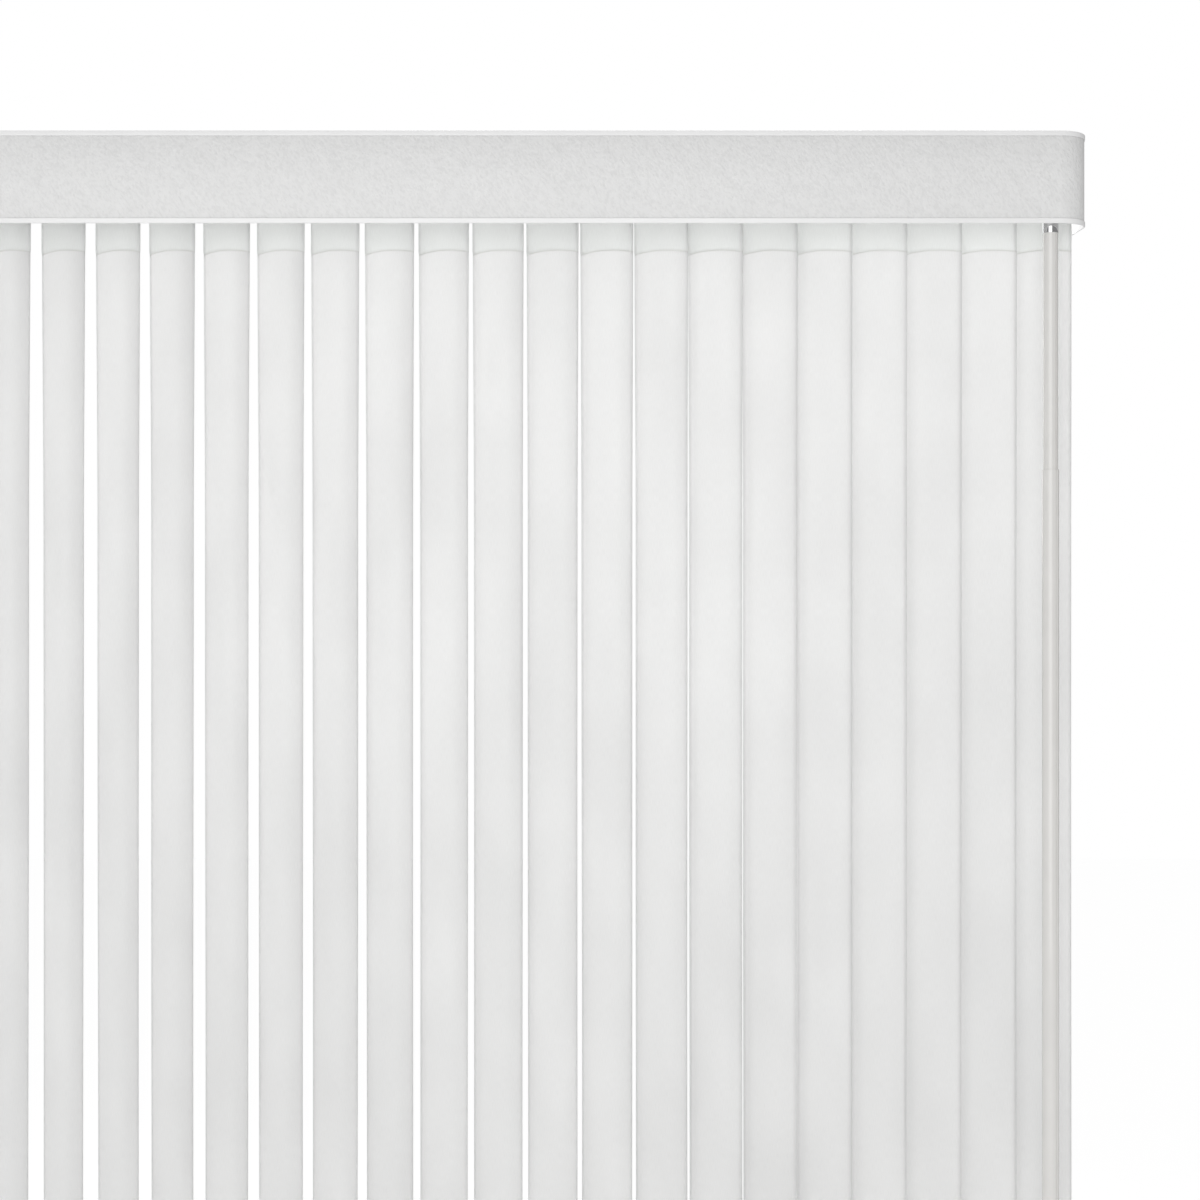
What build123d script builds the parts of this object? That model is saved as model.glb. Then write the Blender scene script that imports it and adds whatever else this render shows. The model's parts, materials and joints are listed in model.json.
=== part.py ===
from build123d import *

import math
import os

# Vertical blind for a wide window, hung from three wall brackets.
# Millimetres, +Z up, +X to the right, -Y into the room, the wall's face at y = 0.
# The origin is the middle of the two screw holes of the middle bracket, on the wall.

# Slats and their spacing
slat_count = 20
slat_pitch = 79.4
stack_pitch = 20.0
slat_width = 89.0
slat_crown = 4.5
slat_turn = 33.0
blind_drop = 2134.0
slat_hang = 14.0
fabric_thick = 0.45
fold_thick = 2.1
top_fold = 70.0
foot_height = 42.0
fold_taper = 5.0
tab_width = 8.0
tab_thick = 0.9
tab_rise = 6.5

# Headrail
wall_to_rail = 65.0
rail_overhang = 33.7
rail_width = 46.0
rail_height = 32.0
rail_wall = 1.4
rail_corner = 2.5
rail_slot = 10.0
rail_lip = 1.2
rail_lip_height = 3.0
rail_groove = 1.1
rail_groove_height = 1.8
rail_groove_drop = 4.2
cap_thick = 2.5
cap_plug = 12.0

# Turning rod inside the rail
rod_radius = 2.5
rod_flute = 0.6
rod_flutes = 6
rod_drop = 13.5
rod_clearance = 0.08

# Carriers
carrier_length = 18.0
carrier_half_width = 7.6
carrier_floor = 27.2
carrier_deck = 7.8
carrier_top = 1.7
carrier_cheek = 1.4
wheel_radius = 3.9
wheel_width = 4.0
wheel_lift = 0.3
barrel_radius = 4.6
barrel_reach = 6.0
stem_radius = 3.0
stem_flat = 2.4
stem_clearance = 0.1
stem_top = 18.5
stem_end_gap = 0.3
round_sides = 8

# Spacer links between the carriers
link_width = 8.0
link_thick = 0.4
link_overrun = 6.0
link_gap = 0.2
link_lift = 0.6
link_play = 0.4

# Clip under each stem
clip_width = 9.0
clip_depth = 4.2
clip_gap = 0.15
clip_stand = 0.3

# Valance
valance_front = 80.0
valance_rise = 35.0
valance_height = 130.7
valance_side_room = 44.4
valance_corner = 45.0
valance_lip = 7.0
valance_lip_thick = 0.9
valance_back = 1.0
valance_hook = 3.0
insert_thick = 0.8
insert_play = 0.15
wall_gap = 1.0

# Wall brackets, their spring clips and bolts
bracket_span = 560.0
bracket_width = 44.0
bracket_thick = 2.0
bracket_bend = 3.0
bracket_rise = 12.0
bracket_overhang = 16.0
bracket_hole_radius = 2.25
bracket_hole_spacing = 26.0
rail_below_holes = 22.0
grip_thick = 1.2
grip_width = 22.0
grip_room = 3.6
grip_play = 0.2
bolt_radius = 2.0
bolt_head_height = 2.2
bolt_clearance = 0.15
nut_width = 7.0
nut_height = 3.0
bolt_end = 1.0
bolt_sides = 12
seat_gap = 0.2

# Valance clips
clip_positions = (-700.0, -280.0, 280.0, 700.0)
valance_clip_width = 24.0
valance_clip_thick = 1.6

# Wand and its arm
wand_reach = 57.0
arm_width = 14.0
arm_thick = 5.2
arm_gap = 0.5
boss_radius = 8.0
boss_rise = 8.0
boss_drop = 12.4
ear_thick = 1.8
ear_half_width = 3.0
rib_share = 0.8
joint_drop = 14.0
joint_pin_radius = 1.2
joint_pin_clearance = 0.1
pin_sides = 12
cross_size = 6.0
ear_inner = 4.3
fork_drop = 11.0
fork_base = 2.0
fork_radius = 7.5
swivel_radius = 3.0
swivel_length = 5.0
ferrule_radius = 11.05
ferrule_neck = 8.4
ferrule_end = 127.0
ferrule_top = 0.3
wand_rod_radius = 10.45
wand_rod_end = 462.6
wand_tube_radius = 11.75
wand_tube_end = 1550.0
wand_socket = 40.0
wand_fit = 0.1
tip_radius = 11.4
tip_end_radius = 9.5
tip_length = 8.0

# Places that follow from the sizes above
rail_top = -rail_below_holes
rail_bottom = rail_top - rail_height
rail_y = -wall_to_rail
run_length = (slat_count - 1) * slat_pitch
pivots = [i * slat_pitch - run_length / 2 for i in range(slat_count)]
rail_half = run_length / 2 + rail_overhang
slat_top = rail_bottom - slat_hang
slat_foot = rail_top - blind_drop
arc_angle = 8 * slat_crown / slat_width
arc_radius = slat_width / arc_angle
wand_y = rail_y - wand_reach
joint_z = rail_bottom - arm_gap - boss_drop - joint_drop - arm_thick
wand_top = joint_z - fork_drop - fork_base
floor_top = rail_bottom + rail_wall
link_slope = (link_thick + link_gap) / stack_pitch
valance_total = valance_lip_thick + insert_thick + 2 * insert_play + valance_back
valance_top = rail_top + valance_rise
valance_foot = valance_top - valance_height


def save(node, *solids):
    """Writes one node, which may hold several loose solids."""
    shape = solids[0] if len(solids) == 1 else Compound(children=list(solids))
    shape.label = node
    export_step(shape, os.path.join("parts", node + ".step"))


def across(sketch, half_length):
    """Draws a section of y and z out along x, as far each way."""
    return extrude(Plane.YZ * sketch, amount=half_length, both=True)


def closed(points):
    """A flat face with straight sides through the given points."""
    return make_face(Polyline(*points, close=True))


def rail_section():
    """The headrail's drawn section: an inverted channel with a slot below and a groove on each side."""
    section = RectangleRounded(rail_width, rail_height, rail_corner)
    section -= Rectangle(rail_width - 2 * rail_wall, rail_height - 2 * rail_wall)
    lip_y = rail_slot / 2 + rail_lip / 2
    lip_z = rail_wall + rail_lip_height / 2 - rail_height / 2
    groove_z = rail_height / 2 - rail_groove_drop
    for side in (-1, 1):
        section += Pos(side * lip_y, lip_z) * Rectangle(rail_lip, rail_lip_height)
        wall_y = side * (rail_width / 2 - rail_wall / 2 - rail_groove)
        section += Pos(wall_y, groove_z) * Rectangle(rail_wall, rail_groove_height + 2 * rail_wall)
        groove_y = side * (rail_width / 2 - rail_groove / 2)
        section -= Pos(groove_y, groove_z) * Rectangle(rail_groove, rail_groove_height)
    section -= Pos(0, -rail_height / 2) * Rectangle(rail_slot, 2 * rail_wall)
    return Pos(rail_y, rail_top - rail_height / 2) * section


def headrail():
    """The drawn rail, cut to length."""
    return across(rail_section(), rail_half)


def end_cap(side):
    """A cap with a plug inside the rail and a bearing for the turning rod."""
    flange = chamfer(Rectangle(rail_width, rail_height).vertices(), rail_corner)
    inner_width = rail_width - 2 * (rail_wall + rail_groove + rail_wall) - 2 * seat_gap
    inner_height = rail_height - 2 * rail_wall - 2 * seat_gap
    plug = Rectangle(inner_width, inner_height)
    slot_room = rail_slot + 2 * rail_lip + 2 * seat_gap
    plug -= Pos(0, -inner_height / 2) * Rectangle(slot_room, 2 * rail_lip_height + 2 * seat_gap)
    middle = Pos(0, rail_y, rail_top - rail_height / 2)
    cap = middle * extrude(Plane.YZ * flange, amount=cap_thick)
    cap += middle * extrude(Plane.YZ * plug, amount=-cap_plug)
    bearing = Cylinder(rod_radius + rod_clearance, cap_plug, rotation=(0, 90, 0))
    cap -= Pos(-cap_plug / 2, rail_y, rail_top - rod_drop) * bearing
    cap = Pos(rail_half, 0, 0) * cap
    return cap if side > 0 else mirror(cap, Plane.YZ)


def turning_rod():
    """The fluted rod that turns every slat."""
    points = []
    for i in range(2 * rod_flutes):
        angle = math.pi * i / rod_flutes
        radius = rod_radius if i % 2 == 0 else rod_radius - rod_flute
        points.append((radius * math.cos(angle), radius * math.sin(angle)))
    section = Pos(rail_y, rail_top - rod_drop) * closed(points)
    return across(section, rail_half - 2 * seat_gap)


def carrier_block():
    """One moulded carrier at x = 0: a block on two wheels, with a barrel through the rail's slot."""
    half = carrier_half_width
    deck_half = link_width / 2 + link_play
    side = [
        (half, -carrier_floor),
        (half, -carrier_deck),
        (deck_half + carrier_cheek, -carrier_top),
        (deck_half, -carrier_top),
        (deck_half, -carrier_deck),
    ]
    section = closed(side + [(-y, z) for y, z in reversed(side)])
    bore = rod_radius + stem_clearance
    section -= Pos(0, -rod_drop) * RegularPolygon(bore, round_sides, major_radius=False)
    block = across(Pos(rail_y, rail_top) * section, carrier_length / 2)
    barrel_foot = rail_bottom - barrel_reach
    barrel = RegularPolygon(barrel_radius, round_sides)
    block += Pos(0, rail_y, barrel_foot) * extrude(barrel, amount=rail_top - carrier_floor - barrel_foot)
    stem_hole = RegularPolygon(stem_radius + stem_clearance, round_sides, major_radius=False)
    hole_depth = rail_top - stem_top - barrel_foot
    block -= Pos(0, rail_y, barrel_foot) * extrude(stem_hole, amount=hole_depth)
    axle_z = floor_top + wheel_lift + wheel_radius
    for side in (-1, 1):
        face_y = rail_y + side * half
        outward = Plane((0, face_y, axle_z), x_dir=(1, 0, 0), z_dir=(0, side, 0))
        block += extrude(outward * RegularPolygon(wheel_radius, round_sides), amount=wheel_width)
    return block


def spacer_link():
    """The strip that keeps a carrier within one pitch of the next; its slope lets the strips nest."""
    length = slat_pitch + link_overrun
    strip = Box(length, link_width, link_thick, align=(Align.MIN, Align.CENTER, Align.MIN))
    strip = Rot(0, -math.degrees(math.atan(link_slope)), 0) * strip
    return Pos(0, rail_y, rail_top - carrier_deck + link_lift) * strip


def fabric_profile():
    """The fabric from its edge, y through the cloth and z up: a stiff fold at the top, a sealed foot below."""
    cloth = fabric_thick / 2
    fold = fold_thick / 2
    hem = slat_top - top_fold
    foot_hem = slat_foot + foot_height
    side = [
        (fold, slat_foot),
        (fold, foot_hem - fold_taper),
        (cloth, foot_hem),
        (cloth, hem),
        (fold, hem + fold_taper),
        (fold, slat_top),
    ]
    return closed(side + [(-y, z) for y, z in reversed(side)])


def slat_fabric():
    """One slat's bowed fabric, with the tab of its stiff top strip standing out for the clip."""
    axis = Axis((0, arc_radius, 0), (0, 0, 1))
    angle = math.degrees(arc_angle)
    fabric = revolve(Plane.YZ * fabric_profile(), axis, angle).rotate(axis, -angle / 2)
    tab = Box(tab_width, tab_thick, 2 * tab_rise)
    return fabric + Pos(0, 0, slat_top) * tab


def stem():
    """The turning stem, square with rounded edges, which ends below in a clip for the slat's tab."""
    barrel_foot = rail_bottom - barrel_reach
    clip_top = barrel_foot - stem_end_gap
    head = rail_top - stem_top - stem_end_gap
    section = Rectangle(2 * stem_flat, 2 * stem_flat) & Circle(stem_radius)
    shaft = extrude(section, amount=head - clip_top)
    clip_foot = slat_top + clip_stand
    clip = Box(
        clip_width,
        clip_depth,
        clip_top - clip_foot,
        align=(Align.CENTER, Align.CENTER, Align.MIN),
    )
    mouth_height = tab_rise - clip_stand + stem_end_gap
    mouth = Box(
        clip_width,
        tab_thick + 2 * clip_gap,
        mouth_height,
        align=(Align.CENTER, Align.CENTER, Align.MIN),
    )
    clip -= mouth
    return Pos(0, 0, clip_top) * shaft + Pos(0, 0, clip_foot) * clip


def valance_path(inset):
    """The valance's line in plan, left end to right end, a given depth behind its front."""
    front = rail_y - valance_front + inset
    half = run_length / 2 + valance_side_room + valance_total - inset
    bend = valance_corner - inset
    back = -wall_gap
    left_bend = RadiusArc((-half, front + bend), (bend - half, front), -bend)
    right_bend = RadiusArc((half - bend, front), (half, front + bend), -bend)
    return Wire(
        [
            Edge.make_line((-half, back), (-half, front + bend)),
            left_bend.edge(),
            Edge.make_line((bend - half, front), (half - bend, front)),
            right_bend.edge(),
            Edge.make_line((half, front + bend), (half, back)),
        ]
    )


def bent_band(inset, depth, low, high):
    """A band of the valance: its plan line, as thick as given, from one height to another."""
    outer = valance_path(inset)
    inner = valance_path(inset + depth)
    start = Edge.make_line(outer.position_at(0), inner.position_at(0))
    end = Edge.make_line(inner.position_at(1), outer.position_at(1))
    ring = Wire([*outer.edges(), end, *inner.edges(), start])
    return Pos(0, 0, low) * extrude(Face(ring), amount=high - low)


def valance_channel():
    """The white channel: a back wall, a lip along both edges, and a hook behind its top for the clips."""
    back = valance_total - valance_back
    channel = bent_band(back, valance_back, valance_foot, valance_top)
    for foot, up in ((valance_foot, 1), (valance_top, -1)):
        edge = foot + up * valance_back
        lip = foot + up * valance_lip
        channel += bent_band(0, valance_total, min(foot, edge), max(foot, edge))
        channel += bent_band(0, valance_lip_thick, min(foot, lip), max(foot, lip))
    hook_depth = 2 * valance_clip_thick
    channel += bent_band(valance_total, hook_depth, valance_top - valance_back, valance_top)
    hook_back = valance_total + hook_depth - valance_back
    return channel + bent_band(hook_back, valance_back, valance_top - valance_hook, valance_top)


def valance_insert():
    """The embossed strip that slides into the channel."""
    edge = valance_back + insert_play
    return bent_band(
        valance_lip_thick + insert_play,
        insert_thick,
        valance_foot + edge,
        valance_top - edge,
    )


def bolt_hole(depth):
    """A cutter for the hole that a spring clip's bolt passes through."""
    outline = RegularPolygon(bolt_radius + bolt_clearance, bolt_sides, major_radius=False)
    return extrude(outline, amount=depth / 2, both=True)


def bracket(x):
    """A bent steel bracket: a wall leg with two screw holes and an arm over the rail."""
    arm_foot = rail_top + grip_room + grip_thick + seat_gap
    reach = wall_to_rail + bracket_overhang
    side = closed(
        [
            (0, bracket_rise),
            (0, arm_foot),
            (-reach, arm_foot),
            (-reach, arm_foot + bracket_thick),
            (-bracket_thick, arm_foot + bracket_thick),
            (-bracket_thick, bracket_rise),
        ]
    )
    plate = across(side, bracket_width / 2)
    inner = plate.edges().filter_by(Axis.X).sort_by_distance((0, -bracket_thick, arm_foot + bracket_thick))[0]
    plate = fillet(inner, bracket_bend - bracket_thick)
    outer = plate.edges().filter_by(Axis.X).sort_by_distance((0, 0, arm_foot))[0]
    plate = fillet(outer, bracket_bend)
    corners = plate.edges().filter_by(Axis.Y).group_by(Axis.Z)[-1]
    plate = chamfer(corners, bracket_bend)
    tips = plate.edges().filter_by(Axis.Z).group_by(Axis.Y)[0]
    plate = chamfer(tips, bracket_bend)
    drill = Cylinder(bracket_hole_radius, 4 * bracket_thick, rotation=(90, 0, 0))
    for side in (-1, 1):
        plate -= Pos(side * bracket_hole_spacing / 2, 0, 0) * drill
    plate -= Pos(0, rail_y, arm_foot) * bolt_hole(4 * bracket_thick)
    return Pos(x, 0, 0) * plate


def rail_grip(x):
    """The spring clip under a bracket, whose toes sit in the rail's side grooves."""
    half = rail_width / 2 + grip_play
    top = rail_top + grip_room + grip_thick / 2
    groove_z = rail_top - rail_groove_drop
    toe = rail_width / 2 - rail_groove + grip_play
    line = grip_thick / 2
    right = [
        (0, top),
        (half + line, top),
        (half + line, groove_z),
        (toe, groove_z),
    ]
    left = [(-y, z) for y, z in reversed(right[1:])]
    strip = trace(Polyline(*(left + right)), grip_thick)
    grip = across(Pos(rail_y, 0) * strip, grip_width / 2)
    return Pos(x, 0, 0) * (grip - Pos(0, rail_y, top) * bolt_hole(4 * grip_thick))


def grip_bolt(x):
    """The bolt that holds a spring clip up to its bracket, with its nut on top."""
    head_top = rail_top + grip_room
    arm_top = head_top + grip_thick + seat_gap + bracket_thick
    hexagon = RegularPolygon(nut_width / 2, 6, major_radius=False)
    head = extrude(hexagon, amount=-bolt_head_height)
    shank = RegularPolygon(bolt_radius, bolt_sides)
    shank = extrude(shank, amount=arm_top + nut_height + bolt_end - head_top)
    nut = extrude(hexagon, amount=nut_height)
    bolt = head + shank + Pos(0, 0, arm_top - head_top) * nut
    return Pos(x, rail_y, head_top) * bolt


def valance_clip(x):
    """A moulded clip that grips the rail's front edge and holds the valance's back."""
    thick = valance_clip_thick
    back = rail_y - valance_front + valance_total
    plate_y = back + seat_gap + thick / 2
    ledge = valance_back + seat_gap
    face_y = rail_y - rail_width / 2 - grip_play - thick / 2
    over = rail_top + grip_play + thick / 2
    groove_z = rail_top - rail_groove_drop
    toe = rail_y - rail_width / 2 + rail_groove - grip_play
    plate = trace(Line((plate_y, rail_bottom), (plate_y, valance_top - ledge)), thick)
    hook = trace(
        Polyline((toe, groove_z), (face_y, groove_z), (face_y, over), (rail_y - rail_width / 4, over)),
        thick,
    )
    arm = trace(Line((plate_y, over), (face_y, over)), thick)
    brace_foot = rail_top - rail_height / 2
    brace = trace(Polyline((plate_y, brace_foot), (face_y, over)), thick)
    return Pos(x, 0, 0) * across(plate + hook + arm + brace, valance_clip_width / 2)


def wand_arm(x):
    """The arm on the lead carrier's barrel that carries the wand in front of the slats."""
    top = rail_bottom - arm_gap
    plan = Pos(0, rail_y) * Circle(arm_width / 2)
    plan += Pos(0, rail_y - wand_reach / 2) * Rectangle(arm_width, wand_reach)
    plan -= Pos(0, rail_y) * Circle(barrel_radius + stem_clearance)
    arm = Pos(0, 0, top) * extrude(plan, amount=-arm_thick)
    rib = closed(
        [
            (wand_y, top),
            (rail_y - rail_width / 2 - boss_radius, top),
            (wand_y + boss_radius, top + boss_rise * rib_share),
            (wand_y, top + boss_rise * rib_share),
        ]
    )
    arm += across(rib, ear_half_width)
    boss_foot = top - arm_thick - boss_drop
    boss = extrude(Circle(boss_radius), amount=boss_rise + arm_thick + boss_drop)
    arm += Pos(0, wand_y, boss_foot) * boss
    ear = ear_plate(joint_drop)
    for side in (-1, 1):
        arm += Pos(side * (ear_inner + ear_thick / 2), wand_y, joint_z) * ear
    return Pos(x, 0, 0) * arm


def ear_plate(rise):
    """An ear of the wand's universal joint, across x, with a round end and a pin hole."""
    outline = Circle(ear_half_width)
    outline += Pos(0, rise / 2) * Rectangle(2 * ear_half_width, rise)
    outline -= RegularPolygon(joint_pin_radius + joint_pin_clearance, pin_sides, major_radius=False)
    return across(outline, ear_thick / 2)


def wand_cross(x):
    """The cross of the wand's universal joint, with a pin each way."""
    pin_length = 2 * (ear_inner + ear_thick)
    cross = Box(cross_size, cross_size, cross_size)
    pin = RegularPolygon(joint_pin_radius, pin_sides)
    for plane in (Plane.YZ, Plane.XZ):
        cross += extrude(plane * pin, amount=pin_length / 2, both=True)
    return Pos(x, wand_y, joint_z) * cross


def wand_fork(x):
    """The lower fork of the universal joint, with the peg that the wand turns on."""
    ear = Rot(0, 0, 90) * mirror(ear_plate(fork_drop), Plane.XY)
    base_top = joint_z - fork_drop
    fork = Pos(0, 0, base_top) * extrude(Circle(fork_radius), amount=-fork_base)
    for side in (-1, 1):
        fork += Pos(0, side * (ear_inner + ear_thick / 2), joint_z) * ear
    peg = extrude(Circle(swivel_radius), amount=-swivel_length)
    fork += Pos(0, 0, wand_top) * peg
    return Pos(x, wand_y, 0) * fork


def turned(points):
    """A solid turned about the z axis from a half outline of radius and height."""
    return revolve(Plane.XZ * closed(points), Axis.Z)


def wand_ferrule(x):
    """The chromed collar at the wand's top, hung on the fork's peg."""
    top = wand_top - ferrule_top
    bore = swivel_radius + wand_fit
    shoulder = top - swivel_length
    seat = shoulder - 2 * fork_base
    inner = wand_rod_radius + wand_fit
    collar = turned(
        [
            (bore, top),
            (ferrule_neck, top),
            (ferrule_radius, shoulder),
            (ferrule_radius, -ferrule_end),
            (inner, -ferrule_end),
            (inner, seat),
            (bore, seat),
        ]
    )
    return Pos(x, wand_y, 0) * collar


def wand_rod(x):
    """The upper length of the wand."""
    top = wand_top - ferrule_top - swivel_length - 2 * fork_base - wand_fit
    foot = -wand_rod_end - wand_socket
    rod = Pos(0, 0, foot) * extrude(Circle(wand_rod_radius), amount=top - foot)
    return Pos(x, wand_y, 0) * rod


def wand_tube(x):
    """The lower length, a tube that sleeves over the upper one and is thicker than it."""
    inner = wand_rod_radius + wand_fit
    foot = -wand_tube_end
    rim = -wand_rod_end
    tube = turned([(inner, rim), (wand_tube_radius, rim), (wand_tube_radius, foot), (inner, foot)])
    return Pos(x, wand_y, 0) * tube


def wand_tip(x):
    """The plug in the tube's lower end."""
    foot = -wand_tube_end
    inner = wand_rod_radius
    tip = turned(
        [
            (0, foot + tip_length),
            (inner, foot + tip_length),
            (inner, foot - wand_fit),
            (tip_radius, foot - wand_fit),
            (tip_end_radius, foot - tip_length),
            (0, foot - tip_length),
        ]
    )
    return Pos(x, wand_y, 0) * tip


def build():
    """Makes and writes every node."""
    os.makedirs("parts", exist_ok=True)
    save("headrail", headrail())
    save("end_cap_left", end_cap(-1))
    save("end_cap_right", end_cap(1))
    save("tilt_rod", turning_rod())
    save("valance_channel", valance_channel())
    save("valance_insert", valance_insert())
    save("valance_clips", *[valance_clip(x) for x in clip_positions])
    bracket_places = (-bracket_span, 0.0, bracket_span)
    save("wall_brackets", *[bracket(x) for x in bracket_places])
    save("bracket_grips", *[rail_grip(x) for x in bracket_places])
    save("grip_bolts", *[grip_bolt(x) for x in bracket_places])
    block = carrier_block()
    link = spacer_link()
    loose = [slat_fabric(), stem()]
    slat_parts = [Rot(0, 0, -slat_turn) * piece for piece in loose]
    for number, x in enumerate(pivots, 1):
        links = [link] if number < slat_count else []
        save(f"carrier_{number:02d}", *[Pos(x, 0, 0) * piece for piece in [block] + links])
        save(f"slat_{number:02d}", *[Pos(x, rail_y, 0) * piece for piece in slat_parts])
    lead = pivots[-1]
    save("wand_arm", wand_arm(lead))
    save("wand_cross", wand_cross(lead))
    save("wand_fork", wand_fork(lead))
    save("wand_ferrule", wand_ferrule(lead))
    save("wand_rod", wand_rod(lead))
    save("wand_tube", wand_tube(lead), wand_tip(lead))


build()
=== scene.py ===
import json
import logging
import math
import random
from dataclasses import dataclass
from enum import Enum
from typing import Dict, Iterable, List, Optional, Protocol, Sequence, Tuple, Union

import bmesh
import bpy
from mathutils import Matrix, Vector


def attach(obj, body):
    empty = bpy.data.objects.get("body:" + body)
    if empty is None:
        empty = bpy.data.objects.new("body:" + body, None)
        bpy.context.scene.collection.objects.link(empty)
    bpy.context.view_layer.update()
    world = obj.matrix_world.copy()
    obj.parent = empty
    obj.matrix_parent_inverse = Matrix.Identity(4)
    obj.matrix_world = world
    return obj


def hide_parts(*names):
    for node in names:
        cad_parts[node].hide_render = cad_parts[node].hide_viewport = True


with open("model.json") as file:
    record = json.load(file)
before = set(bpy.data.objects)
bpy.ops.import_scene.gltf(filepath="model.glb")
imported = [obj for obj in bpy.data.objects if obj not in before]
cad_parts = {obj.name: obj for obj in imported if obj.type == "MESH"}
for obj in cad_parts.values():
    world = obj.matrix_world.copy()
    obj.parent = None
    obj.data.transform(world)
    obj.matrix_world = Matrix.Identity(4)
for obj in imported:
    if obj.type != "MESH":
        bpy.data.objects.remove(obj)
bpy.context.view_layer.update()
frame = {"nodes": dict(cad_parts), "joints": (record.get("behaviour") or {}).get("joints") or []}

log = logging.getLogger("vertical_blind")

MM = 0.001

# Points closer than this are one, and a radius is met within it.
TOUCH = 0.01 * MM

# Where the weld of a slat's top fold lies along the cloth's own map, in metres.
WELD_AT = 1.0

WHITE = (1.0, 1.0, 1.0)

Point2 = Tuple[float, float]
Point3 = Tuple[float, float, float]
Colour = Tuple[float, float, float]
Faces = List[bmesh.types.BMFace]
Socket = bpy.types.NodeSocket


class Coordinates(Enum):
    """Which coordinates a finish's pattern follows."""

    OBJECT = "Object"
    CLOTH = "UV"


# Mesh helpers

def put_in_scene(name: str, mesh: bmesh.types.BMesh, flat_angle: float = 35.0) -> bpy.types.Object:
    """Makes a finished piece of a bmesh and links it to the scene.

    Args:
        name: The piece's name.
        mesh: The bmesh, which is freed here.
        flat_angle: Edges sharper than this many degrees stay crisp.

    Returns:
        The new object, which sits at the origin.
    """
    data = bpy.data.meshes.new(name)
    mesh.to_mesh(data)
    mesh.free()
    data.shade_smooth()
    data.set_sharp_from_angle(angle=math.radians(flat_angle))
    piece = bpy.data.objects.new(name, data)
    bpy.context.scene.collection.objects.link(piece)
    return piece


def heal(mesh: bmesh.types.BMesh) -> None:
    """Closes seams and poles and turns every face outwards."""
    bmesh.ops.remove_doubles(mesh, verts=mesh.verts, dist=TOUCH)
    bmesh.ops.recalc_face_normals(mesh, faces=mesh.faces)


def soften(piece: bpy.types.Object, width: float, segments: int = 2, angle: float = 40.0) -> None:
    """Rounds a piece's crisp edges with a bevel modifier.

    Args:
        piece: The piece to finish.
        width: The bevel's width in metres.
        segments: Steps of the rounding.
        angle: Edges sharper than this many degrees are rounded.
    """
    bevel = piece.modifiers.new("rounded_edges", "BEVEL")
    bevel.width = width
    bevel.segments = segments
    bevel.limit_method = "ANGLE"
    bevel.angle_limit = math.radians(angle)
    bevel.harden_normals = True


def add_block(mesh: bmesh.types.BMesh, size: Vector, centre: Vector, round_by: float) -> None:
    """Adds a block with rounded edges to a bmesh.

    Args:
        mesh: The bmesh to add to.
        size: The block's three sides.
        centre: The block's middle.
        round_by: How much its edges are rounded.
    """
    place = Matrix.Translation(centre) @ Matrix.Diagonal((*size, 1.0))
    corners = bmesh.ops.create_cube(mesh, size=1.0, matrix=place)["verts"]
    edges = list({edge for corner in corners for edge in corner.link_edges})
    bmesh.ops.bevel(
        mesh, geom=edges, offset=round_by, affect="EDGES", segments=2, profile=0.5, material=-1
    )


def add_shaft(mesh: bmesh.types.BMesh, radius: float, low: float, high: float, sides: int) -> None:
    """Adds an upright shaft about the z axis to a bmesh.

    Args:
        mesh: The bmesh to add to.
        radius: The shaft's radius.
        low: Its lower end.
        high: Its upper end.
        sides: Its number of sides.
    """
    bmesh.ops.create_cone(
        mesh,
        cap_ends=True,
        segments=sides,
        radius1=radius,
        radius2=radius,
        depth=high - low,
        matrix=Matrix.Translation((0, 0, (low + high) / 2)),
    )


def eased(share: float) -> float:
    """A share from 0 to 1 that starts and ends gently, held at its ends."""
    share = min(1.0, max(0.0, share))
    return share * share * (3 - 2 * share)


@dataclass(frozen=True)
class Groove:
    """A fine groove that runs down the outside of a turned piece."""

    depth: float
    turn: float

    def press(self, mesh: bmesh.types.BMesh, outside: float, steps: int) -> None:
        """Moves the column of points nearest to the groove inwards.

        Args:
            mesh: The turned bmesh, still about the z axis.
            outside: The radius of its outside.
            steps: How many steps its turn has.
        """
        turn = math.radians(self.turn)
        bottom = Vector((math.sin(turn), -math.cos(turn), 0)) * (outside - self.depth)
        for vert in mesh.verts:
            flat = Vector((vert.co.x, vert.co.y, 0))
            if flat.length > outside - TOUCH and flat.angle(bottom) < math.pi / steps:
                vert.co = bottom + Vector((0, 0, vert.co.z))


def turned_piece(
    name: str,
    outline: Sequence[Point2],
    centre: Point2,
    steps: int,
    groove: Optional[Groove] = None,
) -> bpy.types.Object:
    """Turns a closed half outline about an upright axis.

    Args:
        name: The piece's name.
        outline: Points of radius and height, in metres, round the half section.
        centre: Where the axis stands in plan.
        steps: How many steps the turn has.
        groove: The groove down its outside, if it has one.

    Returns:
        The new piece.
    """
    mesh = bmesh.new()
    corners = [mesh.verts.new((radius, 0, height)) for radius, height in outline]
    edges = [mesh.edges.new((a, b)) for a, b in zip(corners, corners[1:] + corners[:1])]
    bmesh.ops.spin(
        mesh,
        geom=corners + edges,
        cent=(0, 0, 0),
        axis=(0, 0, 1),
        angle=2 * math.pi,
        steps=steps,
        use_merge=True,
    )
    heal(mesh)
    if groove:
        groove.press(mesh, max(radius for radius, _ in outline), steps)
    bmesh.ops.translate(mesh, verts=mesh.verts, vec=(*centre, 0))
    return put_in_scene(name, mesh)


# Finishes

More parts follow.
